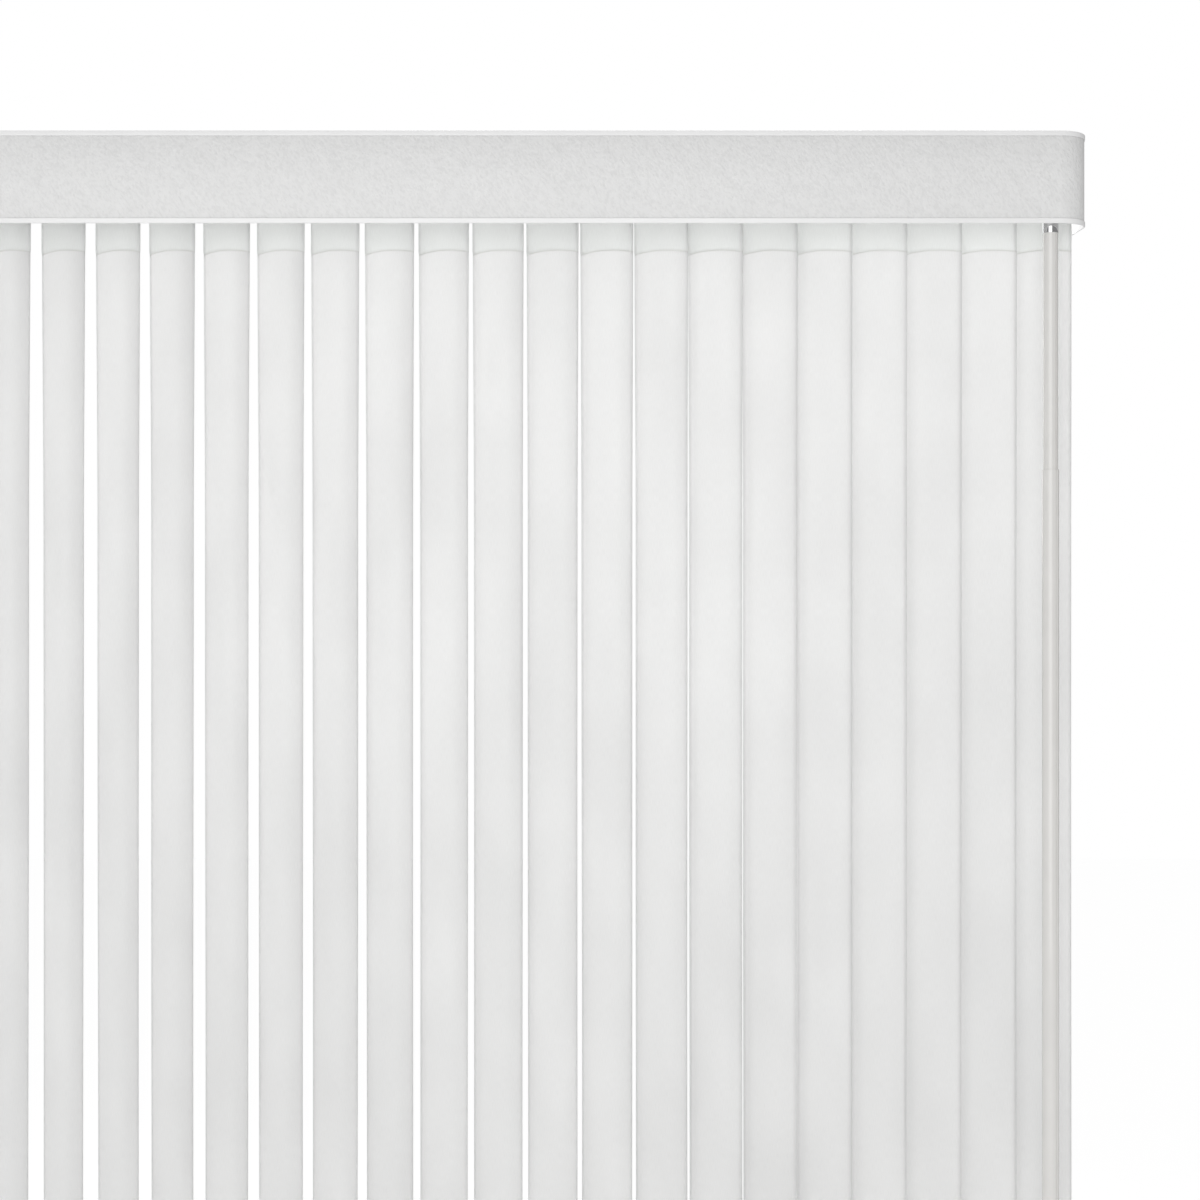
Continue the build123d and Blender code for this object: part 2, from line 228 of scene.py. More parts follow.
class Wiring:
    """Adds and links the nodes of one node tree."""

    def __init__(self, tree: bpy.types.NodeTree) -> None:
        """Starts with the tree as it is."""
        self.nodes = tree.nodes
        self.links = tree.links

    def add(self, kind: str, **values: object) -> bpy.types.Node:
        """Adds a node and sets its properties.

        Args:
            kind: The node's type.
            values: Its properties by name.

        Returns:
            The new node.
        """
        node = self.nodes.new(kind)
        for key, value in values.items():
            setattr(node, key, value)
        return node

    def arithmetic(self, operation: str, first: Socket, second: Union[Socket, float]) -> Socket:
        """One step of arithmetic on two values.

        Args:
            operation: The operation's name.
            first: The first value's socket.
            second: The second value, a socket or a number.

        Returns:
            The result's socket.
        """
        node = self.add("ShaderNodeMath", operation=operation)
        self.links.new(first, node.inputs[0])
        if isinstance(second, (int, float)):
            node.inputs[1].default_value = second
        else:
            self.links.new(second, node.inputs[1])
        return node.outputs["Value"]

    def between(self, share: Socket, low: float, high: float) -> Socket:
        """A value between two others.

        Args:
            share: The socket that is 0 for the first of them and 1 for the second.
            low: The first value.
            high: The second value.

        Returns:
            The value's socket.
        """
        node = self.add("ShaderNodeMapRange")
        node.inputs["To Min"].default_value = low
        node.inputs["To Max"].default_value = high
        self.links.new(share, node.inputs["Value"])
        return node.outputs["Result"]

    def mixed(self, first: Socket, second: Socket, share: Union[Socket, float]) -> Socket:
        """Two shaders mixed.

        Args:
            first: The first shader's socket.
            second: The second shader's socket.
            share: How much of the second there is, a socket or a number.

        Returns:
            The mixed shader's socket.
        """
        node = self.add("ShaderNodeMixShader")
        if isinstance(share, (int, float)):
            node.inputs["Fac"].default_value = share
        else:
            self.links.new(share, node.inputs["Fac"])
        self.links.new(first, node.inputs[1])
        self.links.new(second, node.inputs[2])
        return node.outputs["Shader"]


class Painter(Wiring):
    """Builds one material's node tree."""

    def __init__(self, name: str) -> None:
        """Starts an empty material of that name."""
        self.material = bpy.data.materials.new(name)
        self.material.use_nodes = True
        super().__init__(self.material.node_tree)
        self.shader = self.nodes["Principled BSDF"]

    def cover(self, socket: Socket) -> None:
        """Uses a shader's socket as the whole surface."""
        self.links.new(socket, self.nodes["Material Output"].inputs["Surface"])

    def coordinates(self, kind: Coordinates, scale: Point3) -> Socket:
        """Coordinates of the piece, stretched for a pattern.

        Args:
            kind: Which coordinates.
            scale: How much each axis is stretched.

        Returns:
            The vector socket.
        """
        source = self.add("ShaderNodeTexCoord")
        mapping = self.add("ShaderNodeMapping")
        mapping.inputs["Scale"].default_value = scale
        self.links.new(source.outputs[kind.value], mapping.inputs["Vector"])
        return mapping.outputs["Vector"]

    def slanted(self, length: float, turn: float) -> Socket:
        """Coordinates in which a pattern is longer along a line slanted in the front's plane.

        Args:
            length: How many times longer it is.
            turn: Degrees of that line from upright, about the y axis.

        Returns:
            The vector socket.
        """
        source = self.add("ShaderNodeTexCoord")
        mapping = self.add("ShaderNodeMapping", vector_type="TEXTURE")
        mapping.inputs["Scale"].default_value = (1.0, 1.0, length)
        mapping.inputs["Rotation"].default_value = (0, math.radians(turn), 0)
        self.links.new(source.outputs[Coordinates.OBJECT.value], mapping.inputs["Vector"])
        return mapping.outputs["Vector"]

    def noise(self, vector: Socket, scale: float, detail: float = 3.0) -> Socket:
        """A noise pattern.

        Args:
            vector: The coordinates it reads.
            scale: Its scale.
            detail: How many finer layers it has.

        Returns:
            The factor socket.
        """
        texture = self.add("ShaderNodeTexNoise")
        texture.inputs["Scale"].default_value = scale
        texture.inputs["Detail"].default_value = detail
        self.links.new(vector, texture.inputs["Vector"])
        return texture.outputs["Fac"]

    def ramp(self, value: Socket, stops: Sequence[Tuple[float, Colour]]) -> Socket:
        """Colours for a value.

        Args:
            value: The socket that chooses the colour.
            stops: Places from 0 to 1 and their colours.

        Returns:
            The colour socket.
        """
        node = self.add("ShaderNodeValToRGB")
        elements = node.color_ramp.elements
        while len(elements) < len(stops):
            elements.new(0.5)
        for element, (place, colour) in zip(elements, stops):
            element.position = place
            element.color = (*colour, 1.0)
        self.links.new(value, node.inputs["Fac"])
        return node.outputs["Color"]

    def darkened(
        self, value: Socket, colour: Colour, share: float, low: float = 0.3, high: float = 0.7
    ) -> Socket:
        """A colour that a pattern makes darker where its value is low.

        Args:
            value: The pattern's socket.
            colour: The colour.
            share: What is left of it at its darkest.
            low: The value up to which it is darkest.
            high: The value from which it is as given.

        Returns:
            The colour socket.
        """
        return self.ramp(value, [(low, shaded(colour, share)), (high, colour)])

    def multiply(self, first: Socket, second: Socket) -> Socket:
        """Two colours multiplied."""
        node = self.add("ShaderNodeMix", data_type="RGBA", blend_type="MULTIPLY")
        node.inputs["Factor"].default_value = 1.0
        self.links.new(first, node.inputs["A"])
        self.links.new(second, node.inputs["B"])
        return node.outputs["Result"]

    def colour(self, socket: Socket) -> None:
        """Uses a socket as the base colour."""
        self.links.new(socket, self.shader.inputs["Base Color"])

    def let_light_through(self, colour: Socket, share: float) -> None:
        """Lets part of the light behind the cloth come through it, softly.

        Args:
            colour: The colour it gets on its way.
            share: How much of the light that meets a face goes through.
        """
        glow = self.add("ShaderNodeBsdfTranslucent")
        self.links.new(colour, glow.inputs["Color"])
        self.cover(self.mixed(self.shader.outputs["BSDF"], glow.outputs["BSDF"], share))

    def relief(self, heights: Iterable[Tuple[Socket, float]]) -> None:
        """Adds bumps, one over another.

        Args:
            heights: Sockets of height from 0 to 1, each with its depth in metres.
        """
        normal = None
        for height, depth in heights:
            bump = self.add("ShaderNodeBump")
            bump.inputs["Strength"].default_value = 1.0
            bump.inputs["Distance"].default_value = depth
            self.links.new(height, bump.inputs["Height"])
            if normal is not None:
                self.links.new(normal, bump.inputs["Normal"])
            normal = bump.outputs["Normal"]
        if normal is not None:
            self.links.new(normal, self.shader.inputs["Normal"])

    def gloss(self, roughness: float, metallic: float = 0.0, specular: float = 0.5) -> None:
        """Sets how the surface shines.

        Args:
            roughness: From 0, a mirror, to 1.
            metallic: 1 for bare metal.
            specular: The strength of the plain reflection.
        """
        self.shader.inputs["Roughness"].default_value = roughness
        self.shader.inputs["Metallic"].default_value = metallic
        self.shader.inputs["Specular IOR Level"].default_value = specular


class Finish(Protocol):
    """What every finish offers."""

    @property
    def name(self) -> str:
        """The material's name."""

    def make(self) -> bpy.types.Material:
        """Builds the material."""


def shaded(colour: Colour, share: float) -> Colour:
    """A colour made darker, down to a share of itself."""
    return tuple(share * value for value in colour)


@dataclass(frozen=True)
class MouldedPlastic:
    """Moulded plastic, a little uneven in colour, with a faint skin texture."""

    name: str
    colour: Colour
    roughness: float = 0.4
    coat: float = 0.0
    patch: float = 25.0
    patch_shade: float = 0.97
    skin: float = 900.0
    skin_depth: float = 0.02 * MM

    def make(self) -> bpy.types.Material:
        """Builds the material."""
        paint = Painter(self.name)
        space = paint.coordinates(Coordinates.OBJECT, (1, 1, 1))
        patches = paint.noise(space, self.patch)
        paint.colour(paint.darkened(patches, self.colour, self.patch_shade))
        paint.relief([(paint.noise(space, self.skin, 2.0), self.skin_depth)])
        paint.gloss(self.roughness)
        paint.shader.inputs["Coat Weight"].default_value = self.coat
        return paint.material


@dataclass(frozen=True)
class Metal:
    """Bare or painted metal with fine lines along one axis."""

    name: str
    colour: Colour
    roughness: float = 0.3
    metallic: float = 1.0
    stretch: Point3 = (0.05, 1.0, 1.0)
    line: float = 600.0
    line_shade: float = 0.93
    line_depth: float = 0.01 * MM

    def make(self) -> bpy.types.Material:
        """Builds the material."""
        paint = Painter(self.name)
        space = paint.coordinates(Coordinates.OBJECT, self.stretch)
        lines = paint.noise(space, self.line)
        paint.colour(paint.darkened(lines, self.colour, self.line_shade))
        paint.relief([(lines, self.line_depth)])
        paint.gloss(self.roughness, self.metallic)
        return paint.material


@dataclass(frozen=True)
class SlatCloth:
    """Woven slat cloth, with the weld line of its top fold and doubled cloth above it, which is
    painted paler than the open cloth: painted light that makes up for the valance's shade.
    """

    name: str
    colour: Colour
    open_shade: Colour
    fold_painted_light: Colour
    line_shade: Colour
    line_width: float = 1.4 * MM
    see_through: float = 0.62
    cloud: float = 9.0
    cloud_shade: float = 0.965
    warp: float = 1500.0
    warp_stretch: Point3 = (1.0, 0.06, 1.0)
    warp_shade: float = 0.955
    warp_depth: float = 0.05 * MM
    weft: float = 1300.0
    weft_stretch: Point3 = (0.08, 1.0, 1.0)
    weft_depth: float = 0.04 * MM
    roughness: float = 0.78
    specular: float = 0.3
    sheen: float = 0.15

    def make(self) -> bpy.types.Material:
        """Builds the material."""
        paint = Painter(self.name)
        warp = paint.noise(paint.coordinates(Coordinates.CLOTH, self.warp_stretch), self.warp, 2.0)
        weft = paint.noise(paint.coordinates(Coordinates.CLOTH, self.weft_stretch), self.weft, 2.0)
        clouds = paint.noise(paint.coordinates(Coordinates.OBJECT, (1, 1, 0.5)), self.cloud)
        base = paint.darkened(clouds, self.colour, self.cloud_shade)
        fine = paint.darkened(warp, WHITE, self.warp_shade, high=0.65)
        cloth = paint.multiply(paint.multiply(base, fine), self.painted_fold_light_and_weld(paint))
        paint.colour(cloth)
        paint.let_light_through(cloth, self.see_through)
        paint.relief([(warp, self.warp_depth), (weft, self.weft_depth)])
        paint.gloss(self.roughness, specular=self.specular)
        paint.shader.inputs["Sheen Weight"].default_value = self.sheen
        return paint.material

    def painted_fold_light_and_weld(self, paint: Painter) -> Socket:
        """The colours above and below the weld, with the fold painted paler as painted light
        against the valance's shade, and the weld's line.

        Args:
            paint: The painter of the material.

        Returns:
            The colour socket.
        """
        split = paint.add("ShaderNodeSeparateXYZ")
        paint.links.new(paint.coordinates(Coordinates.CLOTH, (1, 1, 1)), split.inputs["Vector"])
        along = split.outputs["Y"]
        above = paint.arithmetic("GREATER_THAN", along, WELD_AT)
        # Painted light: the fold above the weld is painted paler than the open cloth below, to
        # offset the valance's shade on it.
        fold = paint.ramp(above, [(0.4, self.open_shade), (0.6, self.fold_painted_light)])
        near = paint.arithmetic("ABSOLUTE", paint.arithmetic("SUBTRACT", along, WELD_AT), 0.0)
        share = paint.arithmetic("DIVIDE", near, self.line_width)
        return paint.multiply(fold, paint.ramp(share, [(0.45, self.line_shade), (1.0, WHITE)]))


@dataclass(frozen=True)
class EmbossedStrip:
    """A strip embossed like fine leather, with soft slanted creases; its colour is painted darker
    in the creases and in the pebble hollows, as painted shade.
    """

    name: str
    colour: Colour
    length: float = 1.9
    turn: float = -34.0
    pebble: float = 310.0
    pebble_painted_shade: float = 0.94
    pebble_depth: float = 1.1 * MM
    crease: float = 80.0
    crease_painted_shade: float = 0.975
    crease_depth: float = 0.8 * MM
    roughness: float = 0.5
    specular: float = 0.4

    def make(self) -> bpy.types.Material:
        """Builds the material."""
        paint = Painter(self.name)
        slanted = paint.slanted(self.length, self.turn)
        pebbles = paint.noise(slanted, self.pebble, 3.0)
        creases = paint.noise(slanted, self.crease, 2.0)
        # Painted shade: the colour darkens where the crease and pebble bumps are low, in their
        # hollows.
        crease_shaded = paint.darkened(creases, self.colour, self.crease_painted_shade, low=0.35, high=0.65)
        pebble_shaded = paint.darkened(pebbles, WHITE, self.pebble_painted_shade, low=0.36, high=0.55)
        paint.colour(paint.multiply(crease_shaded, pebble_shaded))
        paint.relief([(creases, self.crease_depth), (pebbles, self.pebble_depth)])
        paint.gloss(self.roughness, specular=self.specular)
        return paint.material


RAIL_PAINT = Metal("rail_paint", (0.80, 0.80, 0.79), 0.42, 0.0)
ROD_METAL = Metal("rod_metal", (0.62, 0.63, 0.64), 0.32)
BRACKET_ZINC = Metal("bracket_zinc", (0.55, 0.56, 0.58), 0.38, stretch=(1.0, 1.0, 0.2))
CHROME = Metal(
    "ferrule_chrome", (0.80, 0.80, 0.81), 0.09, stretch=(1.0, 1.0, 12.0), line_depth=0.002 * MM
)
CAP_PLASTIC = MouldedPlastic("cap_plastic", (0.80, 0.80, 0.79), 0.35)
CARRIER_PLASTIC = MouldedPlastic("carrier_plastic", (0.82, 0.82, 0.81), 0.5)
CLIP_PLASTIC = MouldedPlastic("clip_plastic", (0.76, 0.76, 0.75), 0.45)
VALANCE_PLASTIC = MouldedPlastic("valance_plastic", (0.84, 0.84, 0.84), 0.35, coat=0.1)
JOINT_PLASTIC = MouldedPlastic("joint_plastic", (0.74, 0.74, 0.73), 0.3)
WAND_PLASTIC = MouldedPlastic("wand_plastic", (0.71, 0.70, 0.68), 0.2, coat=0.3)
EMBOSSED_STRIP = EmbossedStrip("embossed_strip", (0.76, 0.76, 0.757))
# The fold's colour share is painted light: paler than the open cloth, to offset the valance's
# shade on the fold.
SLAT_CLOTH = SlatCloth(
    "slat_cloth",
    (0.975, 0.975, 0.973),
    open_shade=(0.9, 0.9, 0.899),
    fold_painted_light=(0.995, 1.0, 0.997),
    line_shade=(0.93, 0.93, 0.92),
)


class FinishShelf:
    """Keeps one material for each finish."""

    def __init__(self) -> None:
        """Starts with an empty shelf."""
        self.made: Dict[str, bpy.types.Material] = {}

    def get(self, finish: Finish) -> bpy.types.Material:
        """The finish's material, made when first asked for."""
        if finish.name not in self.made:
            self.made[finish.name] = finish.make()
        return self.made[finish.name]

    def dress(self, piece: bpy.types.Object, finish: Finish) -> None:
        """Gives a whole piece one finish.

        Args:
            piece: The piece or CAD node.
            finish: The finish it gets.
        """
        piece.data.materials.clear()
        piece.data.materials.append(self.get(finish))


shelf = FinishShelf()


def keep_node(node: str, finish: Finish) -> None:
    """Leaves a CAD node in view and gives it a better finish.

    Args:
        node: The CAD node's name.
        finish: The finish it gets.
    """
    shelf.dress(frame["nodes"][node], finish)
    log.info("node %s keeps its shape", node)


def settle(piece: bpy.types.Object, body: str, slot: str, *nodes: str) -> None:
    """Ties a new piece to its body and hides the nodes that it stands for.

    Args:
        piece: The new piece.
        body: The CAD body it moves with.
        slot: The record's material slot; not used.
        nodes: The CAD nodes it stands for.
    """
    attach(piece, body)
    if nodes:
        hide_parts(*nodes)
    log.info("piece %s rides on %s", piece.name, body)


# Slats

@dataclass
class Slat:
    """One bowed cloth slat with its stem and clip."""

    number: int
    pivot: Vector
    rng: random.Random
    width: float = 89.0 * MM
    crown: float = 5.2 * MM
    top: float = -68.0 * MM
    foot: float = -2156.0 * MM
    fold_depth: float = 75.3 * MM
    foot_depth: float = 42.0 * MM
    taper: float = 5.0 * MM
    cloth: float = 0.45 * MM
    fold_room: float = 0.78 * MM
    foot_room: float = 0.55 * MM
    turn_top: float = -29.5
    turn_foot: float = -33.0
    settle_length: float = 0.5
    twist: float = -1.0
    twist_length: float = 1.0
    lean_spread: float = 0.4
    sway_spread: float = 0.4 * MM
    crown_spread: float = 0.3 * MM
    waver: float = 0.4 * MM
    waver_turns: float = 1.5
    weld_droop: float = 4.0 * MM
    weld_peak: float = -0.12
    weld_reach: float = 14.0 * MM
    weld_height: float = 0.8 * MM
    weld_dent: float = 0.15 * MM
    weld_rise: float = 0.25 * MM
    columns: int = 14
    long_rows: int = 44
    crease_angle: float = 80.0
    stem_radius: float = 3.0 * MM
    stem_sides: int = 20
    stem_top: float = -40.8 * MM
    clip_top: float = -60.3 * MM
    clip_foot: float = -67.7 * MM
    clip_width: float = 9.0 * MM
    clip_depth: float = 4.2 * MM
    clip_round: float = 0.3 * MM
    bridge_thick: float = 0.9 * MM
    bridge_round: float = 0.2 * MM
    card_width: float = 8.0 * MM
    card_thick: float = 0.9 * MM
    card_top: float = -61.5 * MM
    card_tuck: float = 2.0 * MM
    card_round: float = 0.15 * MM
    card_play: float = 0.15 * MM

    @property
    def name(self) -> str:
        """The slat's CAD node and body."""
        return f"slat_{self.number:02d}"

    @property
    def weld(self) -> float:
        """The height of the top fold's weld."""
        return self.top - self.fold_depth

    def section(self) -> List[Point2]:
        """The cloth's line from the foot fold's end to the top fold's end.

        Returns:
            Its points, as depth towards the room and height.
        """
        foot_weld = self.foot + self.foot_depth
        half = self.cloth / 2
        bend = self.cloth
        line = [
            (-self.cloth, foot_weld),
            (-self.foot_room, foot_weld - self.taper),
            (-self.foot_room, self.foot + self.foot_depth / 2),
            (-self.foot_room, self.foot + half + bend),
            (0.0, self.foot + half),
            (self.foot_room, self.foot + half + bend),
            (self.foot_room, self.foot + self.foot_depth / 2),
            (self.foot_room, foot_weld - self.taper),
            (0.0, foot_weld),
        ]
        rise = self.weld - foot_weld - 2 * self.taper
        for row in range(self.long_rows + 1):
            line.append((0.0, foot_weld + self.taper + rise * row / self.long_rows))
        top_end = self.top - half
        line += [
            (0.0, self.weld - self.weld_height),
            (-self.weld_dent, self.weld),
            (self.weld_rise, self.weld + self.weld_height),
            (self.fold_room, self.weld + self.taper),
            (self.fold_room, self.weld + self.fold_depth / 2),
            (self.fold_room, top_end - bend),
            (0.0, top_end),
            (-self.fold_room, top_end - bend),
            (-self.fold_room, self.weld + self.fold_depth / 2),
            (-self.fold_room, self.weld + self.taper),
            (-self.cloth, self.weld),
        ]
        return line

    def turn_at(self, height: float, lean: float) -> float:
        """How far the slat is turned at a height, in radians.

        Args:
            height: The height in the frame.
            lean: This slat's own extra turn in its lower part, in degrees.

        Returns:
            The turn about z.
        """
        upper = eased((self.top - height) / self.settle_length)
        lower = eased((self.top - self.settle_length - height) / self.twist_length)
        turn = self.turn_top + (self.turn_foot - self.turn_top) * upper
        return math.radians(turn + (self.twist + lean) * lower)

    def build_cloth(self) -> bpy.types.Object:
        """Builds the cloth as one strip, folded over at its top and its foot.

        Returns:
            The cloth.
        """
        line = self.section()
        lean = self.rng.uniform(-self.lean_spread, self.lean_spread)
        sway = self.rng.uniform(-self.sway_spread, self.sway_spread)
        crown = self.crown + self.rng.uniform(-self.crown_spread, self.crown_spread)
        wave = self.rng.uniform(0, math.tau)
        rows = len(line) - 1
        runs = [0.0]
        for (d0, z0), (d1, z1) in zip(line, line[1:]):
            runs.append(runs[-1] + math.hypot(d1 - d0, z1 - z0))
        weld_row = line.index((-self.weld_dent, self.weld))
        mesh = bmesh.new()
        bmesh.ops.create_grid(
            mesh, x_segments=self.columns, y_segments=rows, size=1.0, calc_uvs=True
        )
        bow_angle = 8 * crown / self.width
        bow_radius = self.width / bow_angle
        cloth_map = mesh.loops.layers.uv.verify()
        for vert in mesh.verts:
            across = vert.co.x
            row = round((vert.co.y + 1) / 2 * rows)
            depth, height = line[row]
            closeness = max(0.0, 1 - abs(height - self.weld) / self.weld_reach)
            height -= closeness * self.weld_droop * (across - self.weld_peak) ** 2
            along = WELD_AT + runs[row] - runs[weld_row]
            for loop in vert.link_loops:
                loop[cloth_map].uv = (across * self.width / 2, along)
            angle = across * bow_angle / 2
            reach = bow_radius + depth
            x = reach * math.sin(angle)
            y = bow_radius - reach * math.cos(angle)
            turn = self.turn_at(height, lean)
            down = (self.top - height) / (self.top - self.foot)
            drift = sway * math.sin(down * math.pi / 2)
            drift += self.waver * math.sin(self.waver_turns * down * math.tau + wave) * down
            vert.co = Vector(
                (
                    self.pivot.x + x * math.cos(turn) - y * math.sin(turn) + drift,
                    self.pivot.y + x * math.sin(turn) + y * math.cos(turn),
                    height,
                )
            )
        bmesh.ops.recalc_face_normals(mesh, faces=mesh.faces)
        piece = put_in_scene(self.name + "_cloth", mesh, self.crease_angle)
        wall = piece.modifiers.new("cloth_thickness", "SOLIDIFY")
        wall.thickness = self.cloth
        wall.offset = 0.0
        settle(piece, self.name, "slat_fabric", self.name)
        stem = self.build_stem()
        return piece

    def build_stem(self) -> bpy.types.Object:
        """Builds the turning stem, its clip and the stiff tab that the clip holds.

        Returns:
            The stem piece.
        """
        mesh = bmesh.new()
        add_shaft(mesh, self.stem_radius, self.clip_top, self.stem_top, self.stem_sides)
        cheek = (self.clip_depth - self.card_thick) / 2 - self.card_play
        height = self.clip_top - self.clip_foot
        for side in (-1, 1):
            offset = side * (self.clip_depth - cheek) / 2
            middle = Vector((0, offset, self.clip_foot + height / 2))
            add_block(mesh, Vector((self.clip_width, cheek, height)), middle, self.clip_round)
        bridge = Vector((0, 0, self.clip_top - self.bridge_thick / 2))
        sides = Vector((self.clip_width, self.clip_depth, self.bridge_thick))
        add_block(mesh, sides, bridge, self.bridge_round)
        card_foot = self.top - self.card_tuck
        card = Vector((0, 0, (self.card_top + card_foot) / 2))
        sides = Vector((self.card_width, self.card_thick, self.card_top - card_foot))
        add_block(mesh, sides, card, self.card_round)
        place = Matrix.Translation((self.pivot.x, self.pivot.y, 0))
        place = place @ Matrix.Rotation(math.radians(self.turn_top), 4, "Z")
        bmesh.ops.transform(mesh, matrix=place, verts=mesh.verts)
        piece = put_in_scene(self.name + "_stem", mesh)
        shelf.dress(piece, CLIP_PLASTIC)
        settle(piece, self.name, "slat_fabric", self.name)
        return piece


@dataclass
class SlatRow:
    """All the slats, each at its own pivot."""

    seed: int = 31

    def build(self) -> None:
        """Builds each slat and gives it the cloth finish."""
        rng = random.Random(self.seed)
        for joint in frame["joints"]:
            if not (joint["name"].startswith("slat_") and joint["type"] == "hinge"):
                continue
            slat = Slat(int(joint["name"].split("_")[1]), Vector(joint["pos_m"]), rng)
            shelf.dress(slat.build_cloth(), SLAT_CLOTH)


# Valance

@dataclass
class Valance:
    """The valance: a channel with rounded returns and the embossed strip in it."""

    half: float = 808.0 * MM
    front: float = -145.0 * MM
    back: float = -1.0 * MM
    corner: float = 45.0 * MM
    foot: float = -117.7 * MM
    top: float = 13.0 * MM
    total: float = 3.0 * MM
    wall: float = 1.0 * MM
    lip: float = 7.0 * MM
    lip_thick: float = 0.9 * MM
    hook: float = 3.0 * MM
    hook_room: float = 3.2 * MM
    edge_round: float = 0.9 * MM
    edge_share: float = 0.3
    edge_soft: float = 0.25 * MM
    strip_thick: float = 0.8 * MM
    line_width: float = 2.0 * MM
    line_depth: float = 0.6 * MM
    play: float = 0.15 * MM
    bend_steps: int = 24

    def sweep(self, name: str, section: Sequence[Point2]) -> bpy.types.Object:
        """Sweeps a section along the valance's plan, from its left end to its right one.

        Args:
            name: The piece's name.
            section: Its corners, as depth behind the front and height.

        Returns:
            The new piece.
        """
        mesh = bmesh.new()
        corners = [
            mesh.verts.new((depth - self.half, self.back, height)) for depth, height in section
        ]
        end = [mesh.faces.new(corners)]
        side_run = Vector((0, self.front + self.corner - self.back, 0))
        front_run = Vector((2 * (self.half - self.corner), 0, 0))
        bend_y = self.front + self.corner
        end = self.run(mesh, end, side_run)
        end = self.bend(mesh, end, Vector((self.corner - self.half, bend_y, 0)))
        end = self.run(mesh, end, front_run)
        end = self.bend(mesh, end, Vector((self.half - self.corner, bend_y, 0)))
        self.run(mesh, end, -side_run)
        heal(mesh)
        return put_in_scene(name, mesh)

    def run(self, mesh: bmesh.types.BMesh, faces: Faces, way: Vector) -> Faces:
        """Draws the end of a sweep straight on.

        Args:
            mesh: The bmesh.
            faces: The end faces.
            way: How far and which way.

        Returns:
            The new end faces.
        """
        drawn = bmesh.ops.extrude_face_region(mesh, geom=faces)["geom"]
        moved = [part for part in drawn if isinstance(part, bmesh.types.BMVert)]
        bmesh.ops.translate(mesh, verts=moved, vec=way)
        return [part for part in drawn if isinstance(part, bmesh.types.BMFace)]

    def bend(self, mesh: bmesh.types.BMesh, faces: Faces, centre: Vector) -> Faces:
        """Draws the end of a sweep round a corner.

        Args:
            mesh: The bmesh.
            faces: The end faces.
            centre: The corner's centre in plan.

        Returns:
            The new end faces.
        """
        geom = list({part for face in faces for part in (*face.verts, *face.edges, face)})
        last = bmesh.ops.spin(
            mesh,
            geom=geom,
            cent=centre,
            axis=(0, 0, 1),
            angle=math.pi / 2,
            steps=self.bend_steps,
            use_merge=False,
        )["geom_last"]
        return [part for part in last if isinstance(part, bmesh.types.BMFace)]

    def channel_section(self) -> List[Point2]:
        """The channel's section: a back wall, a lip along both edges and a hook behind the top.

        Returns:
            Its corners, as depth behind the front and height, anticlockwise from the back's foot.
        """
        rear = self.total + self.hook_room
        inner = self.total - self.wall
        chamfer = self.edge_share * self.edge_round
        return [
            (self.total, self.foot),
            (self.total, self.top - self.wall),
            (rear - self.wall, self.top - self.wall),
            (rear - self.wall, self.top - self.hook),
            (rear, self.top - self.hook),
            (rear, self.top),
            (self.edge_round, self.top),
            (chamfer, self.top - chamfer),
            (0.0, self.top - self.edge_round),
            (0.0, self.top - self.lip),
            (self.lip_thick, self.top - self.lip),
            (self.lip_thick, self.top - self.wall),
            (inner, self.top - self.wall),
            (inner, self.foot + self.wall),
            (self.lip_thick, self.foot + self.wall),
            (self.lip_thick, self.foot + self.lip),
            (0.0, self.foot + self.lip),
            (0.0, self.foot + self.edge_round),
            (chamfer, self.foot + chamfer),
            (self.edge_round, self.foot),
        ]

    def strip_section(self, front: float, rear: float, low: float, high: float) -> List[Point2]:
        """The strip's section, with a pressed line beside each lip.

        Args:
            front: The depth of its front.
            rear: The depth of its rear.
            low: Its lower edge.
            high: Its upper edge.

        Returns:
            Its corners, as depth behind the front and height.
        """
        pressed = front + self.line_depth
        top_line = self.top - self.lip + self.line_width / 4
        foot_line = self.foot + self.lip - self.line_width / 4
        return [
            (front, low),
            (rear, low),
            (rear, high),
            (front, high),
            (front, top_line),
            (pressed, top_line - self.line_width / 2),
            (front, top_line - self.line_width),
            (front, foot_line + self.line_width),
            (pressed, foot_line + self.line_width / 2),
            (front, foot_line),
        ]

    def build(self) -> None:
        """Builds and dresses the channel and the strip."""
        channel = self.sweep("valance_moulding", self.channel_section())
        soften(channel, self.edge_soft)
        shelf.dress(channel, VALANCE_PLASTIC)
        settle(channel, "mounted_rail", "valance_white", "valance_channel")
        low = self.foot + self.wall + self.play
        high = self.top - self.wall - self.play
        front = self.lip_thick + self.play
        rear = front + self.strip_thick
        strip = self.sweep("valance_strip", self.strip_section(front, rear, low, high))
        shelf.dress(strip, EMBOSSED_STRIP)
        settle(strip, "mounted_rail", "valance_strip", "valance_insert")
        keep_node("valance_clips", CLIP_PLASTIC)


# Wand

